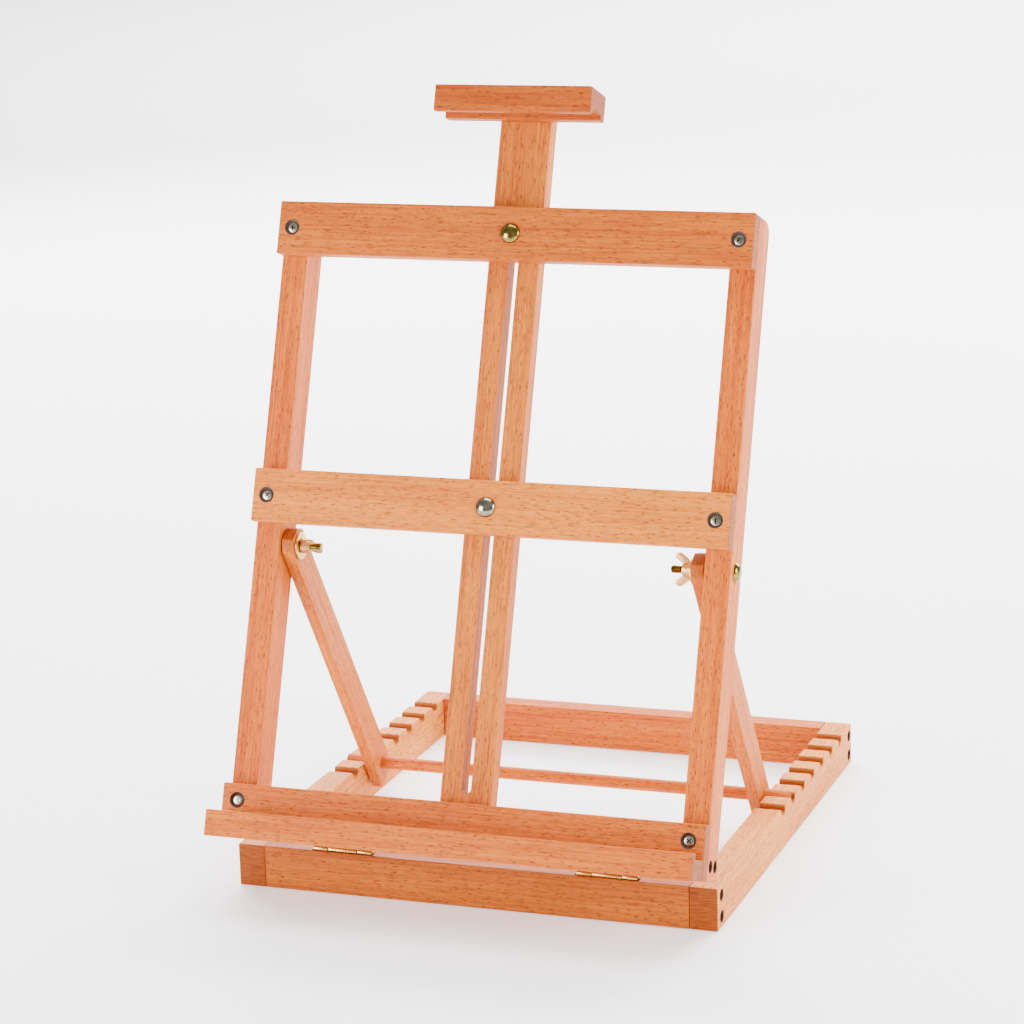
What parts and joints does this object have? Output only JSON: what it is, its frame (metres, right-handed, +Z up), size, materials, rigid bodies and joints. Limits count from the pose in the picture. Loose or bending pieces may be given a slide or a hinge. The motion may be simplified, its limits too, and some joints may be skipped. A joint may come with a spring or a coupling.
{
  "type": "tabletop easel",
  "caption": "Folding beech tabletop easel: notched base frame, hinged front frame with a tray, propped by struts and a dowel, and a sliding mast with a canvas holder.",
  "frame": {"origin": "on the ground, in the middle of the box around the whole easel", "axes": "+Z up, +Y towards the rear, +X towards the right as seen from the front"},
  "size_m": [0.3584, 0.4386, 0.5578],
  "materials": {
    "beech": "oiled, satin",
    "nickel_steel": "nickel-plated, polished",
    "brass": "polished"
  },
  "bodies": {
    "base": {"base_rail_front": "beech", "base_rail_rear": "beech", "base_rail_left": "beech", "base_rail_right": "beech", "base_screw_front_left_lower": "nickel_steel", "base_screw_front_left_upper": "nickel_steel", "base_screw_front_right_lower": "nickel_steel", "base_screw_front_right_upper": "nickel_steel", "base_screw_rear_left_lower": "nickel_steel", "base_screw_rear_left_upper": "nickel_steel", "base_screw_rear_right_lower": "nickel_steel", "base_screw_rear_right_upper": "nickel_steel", "hinge_left_base_leaf": "brass", "hinge_left_pin": "nickel_steel", "hinge_right_base_leaf": "brass", "hinge_right_pin": "nickel_steel"},
    "front_frame": {"upright_left": "beech", "upright_right": "beech", "crossbar_top": "beech", "crossbar_middle": "beech", "tray_board": "beech", "tray_ledge": "beech", "bottom_rail": "beech", "face_screw_top_left": "nickel_steel", "face_screw_top_right": "nickel_steel", "face_screw_middle_left": "nickel_steel", "face_screw_middle_right": "nickel_steel", "face_screw_board_left": "nickel_steel", "face_screw_board_right": "nickel_steel", "rail_screw_left_front": "nickel_steel", "rail_screw_left_rear": "nickel_steel", "rail_screw_right_front": "nickel_steel", "rail_screw_right_rear": "nickel_steel", "hinge_left_frame_leaf": "brass", "hinge_right_frame_leaf": "brass", "prop_bolt_left": "nickel_steel", "prop_bolt_right": "nickel_steel", "prop_washer_left": "brass", "prop_washer_right": "brass", "mast_bolt_top": "nickel_steel", "mast_bolt_middle": "nickel_steel", "mast_washer_top": "nickel_steel", "mast_washer_middle": "nickel_steel"},
    "prop": {"strut_left": "beech", "strut_right": "beech", "prop_dowel": "beech"},
    "mast": {"mast_slat": "beech", "canvas_holder": "beech", "holder_screw_left": "nickel_steel", "holder_screw_right": "nickel_steel"},
    "prop_nut_left": {"prop_wing_nut_left": "brass"},
    "prop_nut_right": {"prop_wing_nut_right": "brass"},
    "mast_nut_top": {"mast_wing_nut_top": "brass"},
    "mast_nut_middle": {"mast_wing_nut_middle": "brass"}
  },
  "joints": [
    {"name": "frame_tilt", "type": "hinge", "parent": "base", "child": "front_frame", "pos_m": [0, -0.15717, 0.032], "axis": [1, 0, 0], "range_deg": [0, 20]},
    {"name": "prop_swing", "type": "hinge", "parent": "front_frame", "child": "prop", "pos_m": [0, -0.09752, 0.2365], "axis": [1, 0, 0], "range_deg": [0, 12]},
    {"name": "mast_slide", "type": "slide", "parent": "front_frame", "child": "mast", "axis": [0, 0.3469, 0.9379], "range_m": [0, 0.19]},
    {"name": "prop_nut_left_turn", "type": "hinge", "parent": "front_frame", "child": "prop_nut_left", "pos_m": [0, -0.09752, 0.2365], "axis": [1, 0, 0], "continuous": true},
    {"name": "prop_nut_right_turn", "type": "hinge", "parent": "front_frame", "child": "prop_nut_right", "pos_m": [0, -0.09752, 0.2365], "axis": [-1, 0, 0], "continuous": true},
    {"name": "mast_nut_top_turn", "type": "hinge", "parent": "front_frame", "child": "mast_nut_top", "pos_m": [0, -0.0173, 0.44673], "axis": [0, 0.9379, -0.3469], "continuous": true},
    {"name": "mast_nut_middle_turn", "type": "hinge", "parent": "front_frame", "child": "mast_nut_middle", "pos_m": [0, -0.08408, 0.26619], "axis": [0, 0.9379, -0.3469], "continuous": true}
  ],
  "couplings": [
    {"joint": "prop_swing", "follows": "frame_tilt", "ratio": 0.6}
  ]
}
